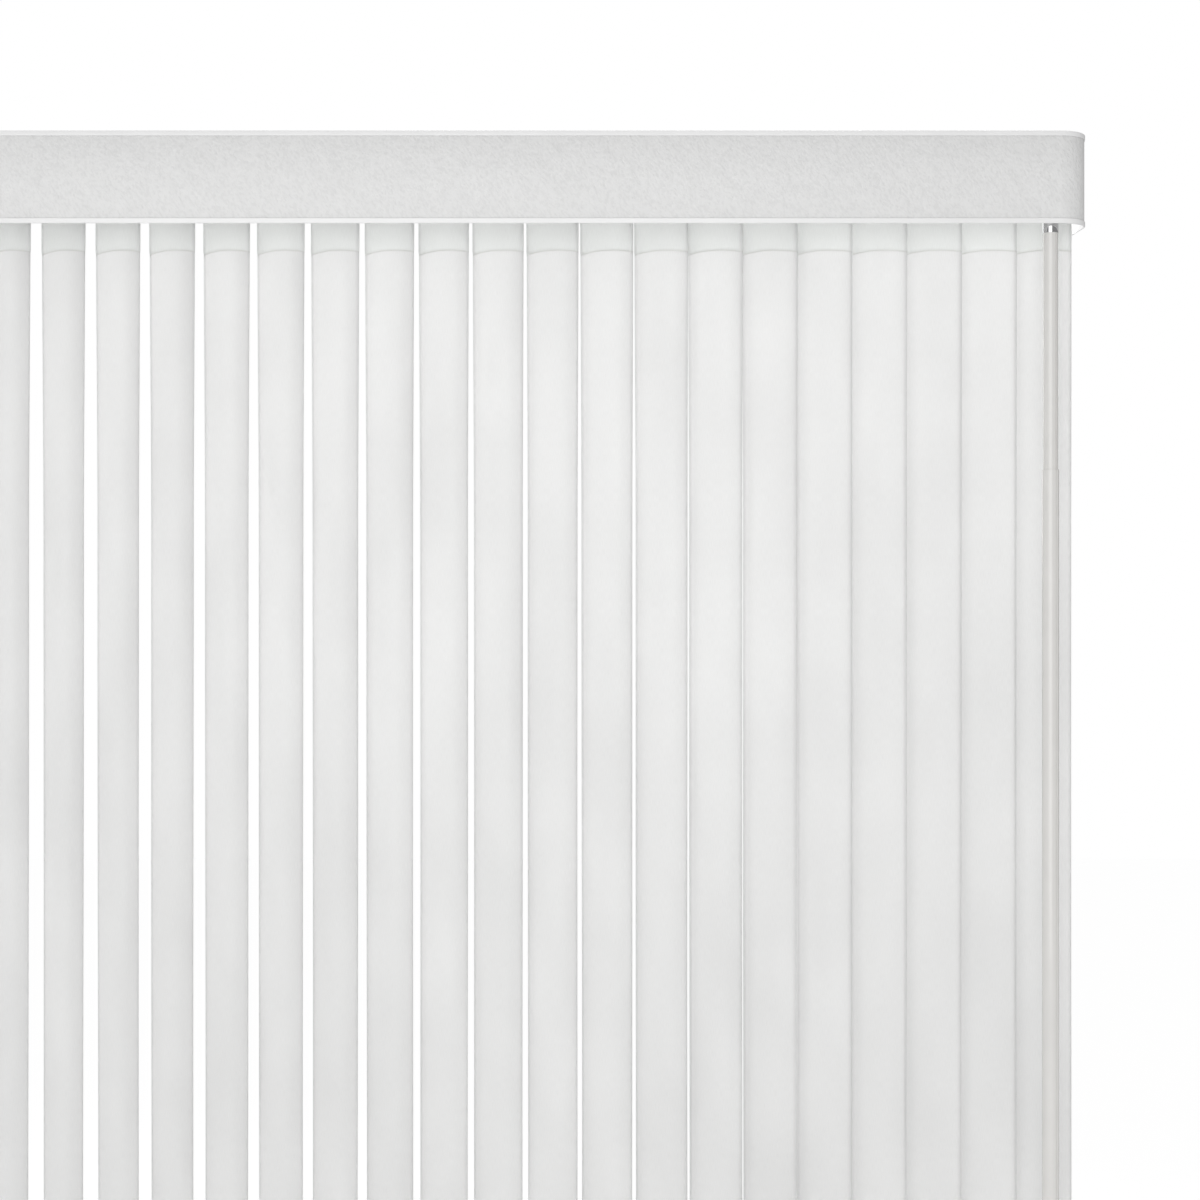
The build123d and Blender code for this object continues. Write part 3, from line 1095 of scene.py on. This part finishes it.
@dataclass
class Wand:
    """The wand below its universal joint: ferrule, upper length, lower tube and end plug."""

    centre: Point2 = (754.3 * MM, -122.0 * MM)
    peg_room: float = 3.1 * MM
    ferrule_top: float = -99.4 * MM
    ferrule_seat: float = -108.4 * MM
    neck: float = 8.4 * MM
    shoulder: float = -104.4 * MM
    shoulder_step: float = 0.5 * MM
    shoulder_rise: float = 0.4 * MM
    ferrule: float = 11.05 * MM
    ferrule_foot: float = -128.4 * MM
    ferrule_round: float = 0.5 * MM
    rod: float = 10.45 * MM
    rod_top: float = -108.5 * MM
    tube: float = 11.75 * MM
    tube_top: float = -465.2 * MM
    tube_foot: float = -1550.0 * MM
    tube_round: float = 0.45 * MM
    socket: float = 40.0 * MM
    plug_drop: float = 8.0 * MM
    plug_step: float = 0.35 * MM
    plug_taper: float = 0.5 * MM
    plug_end: float = 9.5 * MM
    plug_round: float = 1.2 * MM
    play: float = 0.1 * MM
    steps: int = 64
    groove: Groove = Groove(depth=2.2 * MM, turn=34.0)

    def build_ferrule(self) -> None:
        """Builds the chromed collar, open below for the upper length and above for the peg."""
        outline = [
            (self.peg_room, self.ferrule_top),
            (self.neck, self.ferrule_top),
            (self.ferrule - self.shoulder_step, self.shoulder + self.shoulder_rise),
            (self.ferrule, self.shoulder),
            (self.ferrule, self.ferrule_foot),
            (self.rod + self.play, self.ferrule_foot),
            (self.rod + self.play, self.ferrule_seat),
            (self.peg_room, self.ferrule_seat),
        ]
        piece = turned_piece("wand_collar", outline, self.centre, self.steps)
        soften(piece, self.ferrule_round)
        shelf.dress(piece, CHROME)
        settle(piece, "wand", "ferrule_chrome", "wand_ferrule")

    def build_upper_length(self) -> None:
        """Builds the solid upper length, which ends inside the tube."""
        foot = self.tube_top - self.socket
        outline = [(0, self.rod_top), (self.rod, self.rod_top), (self.rod, foot), (0, foot)]
        piece = turned_piece("wand_upper_length", outline, self.centre, self.steps, self.groove)
        shelf.dress(piece, WAND_PLASTIC)
        settle(piece, "wand", "wand_plastic", "wand_rod")

    def build_lower_tube(self) -> None:
        """Builds the tube that sleeves over the upper length."""
        inner = self.rod + self.play
        outline = [
            (inner, self.tube_top),
            (self.tube, self.tube_top),
            (self.tube, self.tube_foot),
            (inner, self.tube_foot),
        ]
        piece = turned_piece("wand_lower_tube", outline, self.centre, self.steps, self.groove)
        soften(piece, self.tube_round)
        shelf.dress(piece, WAND_PLASTIC)
        settle(piece, "wand", "wand_plastic", "wand_tube")

    def build_end_plug(self) -> None:
        """Builds the plug that closes the tube's foot."""
        rim = self.tube_foot - self.play
        end = self.tube_foot - self.plug_drop
        outline = [
            (0, self.tube_foot + self.plug_drop),
            (self.rod, self.tube_foot + self.plug_drop),
            (self.rod, rim),
            (self.tube - self.plug_step, rim),
            (self.tube - self.plug_taper, self.tube_foot - self.plug_drop / 2),
            (self.plug_end, end),
            (0, end),
        ]
        piece = turned_piece("wand_end_plug", outline, self.centre, self.steps)
        soften(piece, self.plug_round, 3)
        shelf.dress(piece, JOINT_PLASTIC)
        settle(piece, "wand", "wand_plastic", "wand_tube")

    def build(self) -> None:
        """Builds the wand's pieces and dresses the joint above them."""
        self.build_ferrule()
        self.build_upper_length()
        self.build_lower_tube()
        self.build_end_plug()
        for node in ("wand_arm", "wand_cross", "wand_fork"):
            keep_node(node, JOINT_PLASTIC)


# Rail and what hangs it

@dataclass
class HeadRail:
    """The rail, its caps, rod, carriers and brackets, which keep their CAD shapes."""

    caps: Sequence[str] = ("end_cap_left", "end_cap_right")
    steel: Sequence[str] = ("wall_brackets", "bracket_grips", "grip_bolts")

    def build(self) -> None:
        """Dresses every node of the rail."""
        keep_node("headrail", RAIL_PAINT)
        for node in self.caps:
            keep_node(node, CAP_PLASTIC)
        for node in self.steel:
            keep_node(node, BRACKET_ZINC)
        keep_node("tilt_rod", ROD_METAL)
        for node in sorted(frame["nodes"]):
            if node.startswith("carrier_"):
                keep_node(node, CARRIER_PLASTIC)


# Studio

@dataclass(frozen=True)
class Lamp:
    """A soft square lamp that the camera doesn't see."""

    name: str
    place: Point3
    aim: Point3
    size: float
    power: float

    def hang(self) -> None:
        """Adds the lamp, turned towards the point it aims at."""
        data = bpy.data.lights.new(self.name, "AREA")
        data.shape = "SQUARE"
        data.size = self.size
        data.energy = self.power
        lamp = bpy.data.objects.new(self.name, data)
        lamp.location = self.place
        way = Vector(self.aim) - Vector(self.place)
        lamp.rotation_euler = way.to_track_quat("-Z", "Y").to_euler()
        lamp.visible_camera = False
        bpy.context.scene.collection.objects.link(lamp)


@dataclass
class Studio:
    """The floor, the light and the camera."""

    eye: Point3 = (0.1119, -2.54, -0.5513)
    horizon: float = 530.0
    image: float = 1200.0
    focal: float = 1696.0
    sensor: float = 36.0
    floor: float = -2.4
    floor_size: float = 14.0
    floor_colour: Colour = (0.92, 0.92, 0.92)
    floor_roughness: float = 0.9
    floor_white: float = 0.8
    floor_level: float = 1.1
    world_level: float = 0.62
    glossy_share: float = 0.4
    lamps: Sequence[Lamp] = (
        Lamp("key_lamp", place=(-0.4, -3.6, -0.6), aim=(0.2, -0.1, -0.9), size=3.0, power=55.0),
        Lamp("back_lamp", place=(0.45, 1.8, 0.2), aim=(0, -0.1, -0.5), size=1.8, power=27.0),
    )

    def add_camera(self) -> None:
        """Adds the camera at the photograph's viewing angle."""
        data = bpy.data.cameras.new("camera")
        data.sensor_width = self.sensor
        data.lens = self.focal / self.image * self.sensor
        data.shift_y = (self.horizon - self.image / 2) / self.image
        camera = bpy.data.objects.new("camera", data)
        camera.location = self.eye
        camera.rotation_euler = (math.pi / 2, 0, 0)
        bpy.context.scene.collection.objects.link(camera)
        bpy.context.scene.camera = camera

    def add_world(self) -> None:
        """Adds light from all round: a white backdrop for the camera, a greyer one for metal."""
        world = bpy.data.worlds.new("studio")
        world.use_nodes = True
        wires = Wiring(world.node_tree)
        rays = wires.add("ShaderNodeLightPath").outputs
        seen = wires.arithmetic("MAXIMUM", rays["Is Camera Ray"], rays["Is Transmission Ray"])
        level = wires.between(seen, self.world_level, 1.0)
        dim = wires.between(rays["Is Glossy Ray"], 1.0, self.glossy_share)
        background = wires.nodes["Background"]
        background.inputs["Color"].default_value = (*WHITE, 1.0)
        wires.links.new(wires.arithmetic("MULTIPLY", level, dim), background.inputs["Strength"])
        bpy.context.scene.world = world

    def add_floor(self) -> None:
        """Adds a pale floor that keeps the object's shadow."""
        mesh = bmesh.new()
        place = Matrix.Translation((0, 0, self.floor))
        half = self.floor_size / 2
        bmesh.ops.create_grid(mesh, x_segments=1, y_segments=1, size=half, matrix=place)
        floor = put_in_scene("studio_floor", mesh)
        paint = Painter("studio_floor_paint")
        paint.shader.inputs["Base Color"].default_value = (*self.floor_colour, 1.0)
        paint.shader.inputs["Roughness"].default_value = self.floor_roughness
        seen = paint.add("ShaderNodeLightPath").outputs["Is Camera Ray"]
        white = paint.add("ShaderNodeEmission")
        white.inputs["Strength"].default_value = self.floor_level
        share = paint.arithmetic("MULTIPLY", seen, self.floor_white)
        paint.cover(paint.mixed(paint.shader.outputs["BSDF"], white.outputs["Emission"], share))
        floor.data.materials.append(paint.material)

    def build(self) -> None:
        """Sets up the whole studio."""
        bpy.context.scene.view_settings.view_transform = "Standard"
        self.add_camera()
        self.add_world()
        self.add_floor()
        for lamp in self.lamps:
            lamp.hang()
        log.info("studio is set")


def main() -> None:
    """Builds the blind in order, then the studio."""
    logging.basicConfig(level=logging.INFO, format="%(name)s: %(message)s")
    HeadRail().build()
    Valance().build()
    SlatRow().build()
    Wand().build()
    Studio().build()


if __name__ == "__main__":
    main()
